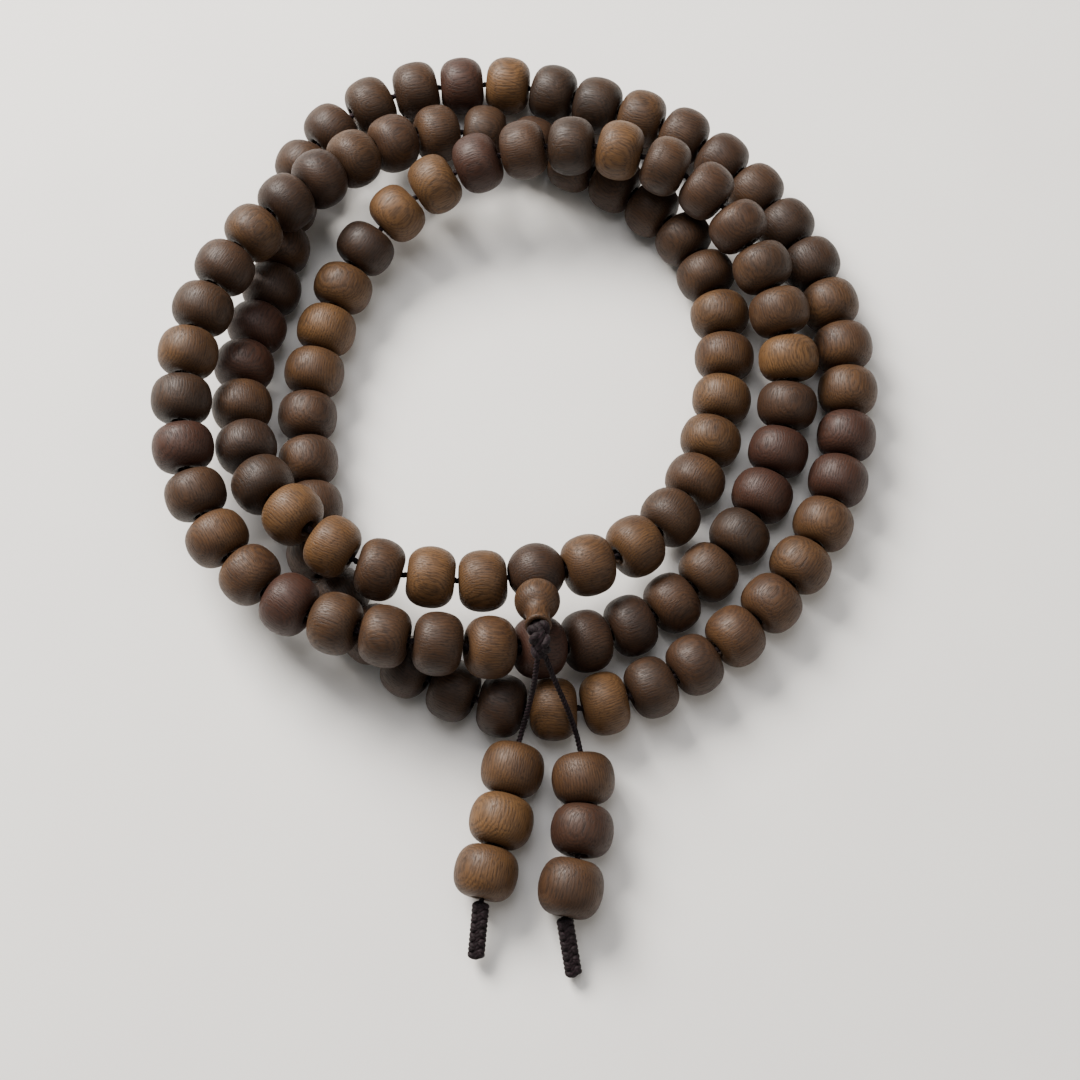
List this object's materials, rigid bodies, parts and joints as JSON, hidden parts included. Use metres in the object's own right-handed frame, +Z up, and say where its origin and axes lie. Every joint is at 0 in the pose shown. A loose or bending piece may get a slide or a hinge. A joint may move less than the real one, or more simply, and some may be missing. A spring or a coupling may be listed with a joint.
{
  "type": "prayer beads",
  "caption": "Long string of turned wooden beads lying in three loose turns, joined at a three-hole guru bead with a bottle-shaped tower bead and two knotted tails of counter beads",
  "frame": {"origin": "on the surface the beads lie on, in the middle of the footprint of the three turns", "axes": "+Z up from the surface; +Y away from the tails, from the guru bead across the turns to the far side; +X to the right seen with the tails towards the viewer"},
  "size_m": [0.094, 0.1264, 0.0178],
  "materials": {
    "bead_wood": "dark brown polished wood with a soft satin sheen",
    "guru_wood": "dark grey-brown polished wood",
    "tower_wood": "mid-brown polished wood",
    "cord": "dark aubergine braided cord, matte"
  },
  "bodies": {
    "strand": {"main_string": "cord", "beads_1_to_2": "bead_wood", "beads_4_to_7": "bead_wood", "beads_9_to_12": "bead_wood", "beads_14_to_17": "bead_wood", "beads_19_to_22": "bead_wood", "beads_24_to_27": "bead_wood", "beads_29_to_32": "bead_wood", "beads_34_to_37": "bead_wood", "beads_39_to_42": "bead_wood", "beads_44_to_47": "bead_wood", "beads_49_to_52": "bead_wood", "beads_54_to_57": "bead_wood", "beads_59_to_62": "bead_wood", "beads_64_to_67": "bead_wood", "beads_69_to_72": "bead_wood", "beads_74_to_77": "bead_wood", "beads_79_to_82": "bead_wood", "beads_84_to_87": "bead_wood", "beads_89_to_92": "bead_wood", "beads_94_to_97": "bead_wood", "beads_99_to_102": "bead_wood", "beads_104_to_108": "bead_wood"},
    "pendant": {"guru_bead": "guru_wood", "pendant_cords": "cord", "neck_knot": "cord"},
    "tower": {"tower_bead": "tower_wood"},
    "tail_left": {"tail_cord_left": "cord", "end_knot_left": "cord"},
    "tail_right": {"tail_cord_right": "cord", "end_knot_right": "cord"},
    "bead_3": {"bead_3": "bead_wood"},
    "bead_8": {"bead_8": "bead_wood"},
    "bead_13": {"bead_13": "bead_wood"},
    "bead_18": {"bead_18": "bead_wood"},
    "bead_23": {"bead_23": "bead_wood"},
    "bead_28": {"bead_28": "bead_wood"},
    "bead_33": {"bead_33": "bead_wood"},
    "bead_38": {"bead_38": "bead_wood"},
    "bead_43": {"bead_43": "bead_wood"},
    "bead_48": {"bead_48": "bead_wood"},
    "bead_53": {"bead_53": "bead_wood"},
    "bead_58": {"bead_58": "bead_wood"},
    "bead_63": {"bead_63": "bead_wood"},
    "bead_68": {"bead_68": "bead_wood"},
    "bead_73": {"bead_73": "bead_wood"},
    "bead_78": {"bead_78": "bead_wood"},
    "bead_83": {"bead_83": "bead_wood"},
    "bead_88": {"bead_88": "bead_wood"},
    "bead_93": {"bead_93": "bead_wood"},
    "bead_98": {"bead_98": "bead_wood"},
    "bead_103": {"bead_103": "bead_wood"},
    "counter_left_1": {"counter_left_1": "bead_wood"},
    "counter_left_2": {"counter_left_2": "bead_wood"},
    "counter_left_3": {"counter_left_3": "bead_wood"},
    "counter_right_1": {"counter_right_1": "bead_wood"},
    "counter_right_2": {"counter_right_2": "bead_wood"},
    "counter_right_3": {"counter_right_3": "bead_wood"}
  },
  "joints": [
    {"name": "bead_3_spin", "type": "hinge", "parent": "strand", "child": "bead_3", "pos_m": [0.01917, -0.02009, 0.00563], "axis": [0.6055, 0.7616, -0.2309], "continuous": true},
    {"name": "bead_8_spin", "type": "hinge", "parent": "strand", "child": "bead_8", "pos_m": [0.02647, 0.00921, 0.004], "axis": [-0.1746, 0.9846, 0], "continuous": true},
    {"name": "bead_13_spin", "type": "hinge", "parent": "strand", "child": "bead_13", "pos_m": [0.00714, 0.03235, 0.004], "axis": [-0.8929, 0.4503, 0], "continuous": true},
    {"name": "bead_18_spin", "type": "hinge", "parent": "strand", "child": "bead_18", "pos_m": [-0.02264, 0.0302, 0.00876], "axis": [-0.7348, -0.6123, 0.2919], "continuous": true},
    {"name": "bead_23_spin", "type": "hinge", "parent": "strand", "child": "bead_23", "pos_m": [-0.04095, 0.00605, 0.0125], "axis": [-0.3162, -0.9487, 0], "continuous": true},
    {"name": "bead_28_spin", "type": "hinge", "parent": "strand", "child": "bead_28", "pos_m": [-0.03776, -0.02473, 0.01065], "axis": [0.5682, -0.8213, -0.0514], "continuous": true},
    {"name": "bead_33_spin", "type": "hinge", "parent": "strand", "child": "bead_33", "pos_m": [-0.01, -0.0386, 0.0112], "axis": [0.9887, -0.0608, -0.1369], "continuous": true},
    {"name": "bead_38_spin", "type": "hinge", "parent": "strand", "child": "bead_38", "pos_m": [0.01923, -0.03111, 0.00411], "axis": [0.812, 0.5823, -0.0386], "continuous": true},
    {"name": "bead_43_spin", "type": "hinge", "parent": "strand", "child": "bead_43", "pos_m": [0.0348, -0.00441, 0.0052], "axis": [0.1411, 0.972, 0.1881], "continuous": true},
    {"name": "bead_48_spin", "type": "hinge", "parent": "strand", "child": "bead_48", "pos_m": [0.02457, 0.02408, 0.01092], "axis": [-0.7623, 0.624, 0.1719], "continuous": true},
    {"name": "bead_53_spin", "type": "hinge", "parent": "strand", "child": "bead_53", "pos_m": [-0.00584, 0.02895, 0.00975], "axis": [-0.9328, -0.2698, -0.239], "continuous": true},
    {"name": "bead_58_spin", "type": "hinge", "parent": "strand", "child": "bead_58", "pos_m": [-0.02592, 0.00701, 0.00413], "axis": [-0.2726, -0.961, -0.0473], "continuous": true},
    {"name": "bead_63_spin", "type": "hinge", "parent": "strand", "child": "bead_63", "pos_m": [-0.026, -0.02451, 0.004], "axis": [0.2864, -0.9581, 0], "continuous": true},
    {"name": "bead_68_spin", "type": "hinge", "parent": "strand", "child": "bead_68", "pos_m": [-0.00228, -0.04449, 0.004], "axis": [0.9815, -0.1913, 0], "continuous": true},
    {"name": "bead_73_spin", "type": "hinge", "parent": "strand", "child": "bead_73", "pos_m": [0.02714, -0.03546, 0.004], "axis": [0.7801, 0.6256, 0], "continuous": true},
    {"name": "bead_78_spin", "type": "hinge", "parent": "strand", "child": "bead_78", "pos_m": [0.04252, -0.00824, 0.004], "axis": [0.1496, 0.9888, 0], "continuous": true},
    {"name": "bead_83_spin", "type": "hinge", "parent": "strand", "child": "bead_83", "pos_m": [0.0358, 0.02245, 0.0042], "axis": [-0.5509, 0.834, 0.0306], "continuous": true},
    {"name": "bead_88_spin", "type": "hinge", "parent": "strand", "child": "bead_88", "pos_m": [0.01046, 0.0411, 0.0045], "axis": [-0.9412, 0.3357, -0.0386], "continuous": true},
    {"name": "bead_93_spin", "type": "hinge", "parent": "strand", "child": "bead_93", "pos_m": [-0.021, 0.04132, 0.004], "axis": [-0.871, -0.4913, 0], "continuous": true},
    {"name": "bead_98_spin", "type": "hinge", "parent": "strand", "child": "bead_98", "pos_m": [-0.03347, 0.01297, 0.00422], "axis": [-0.1984, -0.9769, 0.0793], "continuous": true},
    {"name": "bead_103_spin", "type": "hinge", "parent": "strand", "child": "bead_103", "pos_m": [-0.0325, -0.01736, 0.01011], "axis": [0.5367, -0.7988, 0.2718], "continuous": true},
    {"name": "guru_swing", "type": "hinge", "parent": "strand", "child": "pendant", "pos_m": [0.002, -0.0288, 0.0095], "axis": [-0.9821, -0.1785, 0.0596], "range_deg": [0, 60]},
    {"name": "tower_spin", "type": "hinge", "parent": "pendant", "child": "tower", "pos_m": [0.00222, -0.0353, 0.01416], "axis": [0.0269, -0.8128, 0.582], "continuous": true},
    {"name": "tail_left_swing", "type": "hinge", "parent": "pendant", "child": "tail_left", "pos_m": [0.0026, -0.04025, 0.01575], "axis": [-1, 0, 0], "range_deg": [0, 80]},
    {"name": "counter_left_1_spin", "type": "hinge", "parent": "tail_left", "child": "counter_left_1", "pos_m": [-0.00089, -0.0526, 0.00403], "axis": [-0.2055, -0.978, -0.0365], "continuous": true},
    {"name": "counter_left_2_spin", "type": "hinge", "parent": "tail_left", "child": "counter_left_2", "pos_m": [-0.00223, -0.05898, 0.004], "axis": [-0.244, -0.9698, 0], "continuous": true},
    {"name": "counter_left_3_spin", "type": "hinge", "parent": "tail_left", "child": "counter_left_3", "pos_m": [-0.00403, -0.06531, 0.00394], "axis": [-0.22, -0.9733, -0.0649], "continuous": true},
    {"name": "tail_right_swing", "type": "hinge", "parent": "pendant", "child": "tail_right", "pos_m": [0.0026, -0.04025, 0.01575], "axis": [-1, 0, 0], "range_deg": [0, 80]},
    {"name": "counter_right_1_spin", "type": "hinge", "parent": "tail_right", "child": "counter_right_1", "pos_m": [0.00784, -0.0538, 0.00403], "axis": [0.0499, -0.9982, -0.0347], "continuous": true},
    {"name": "counter_right_2_spin", "type": "hinge", "parent": "tail_right", "child": "counter_right_2", "pos_m": [0.00765, -0.06018, 0.004], "axis": [-0.1199, -0.9928, 0], "continuous": true},
    {"name": "counter_right_3_spin", "type": "hinge", "parent": "tail_right", "child": "counter_right_3", "pos_m": [0.00622, -0.0672, 0.00393], "axis": [-0.2016, -0.9764, -0.077], "continuous": true}
  ]
}
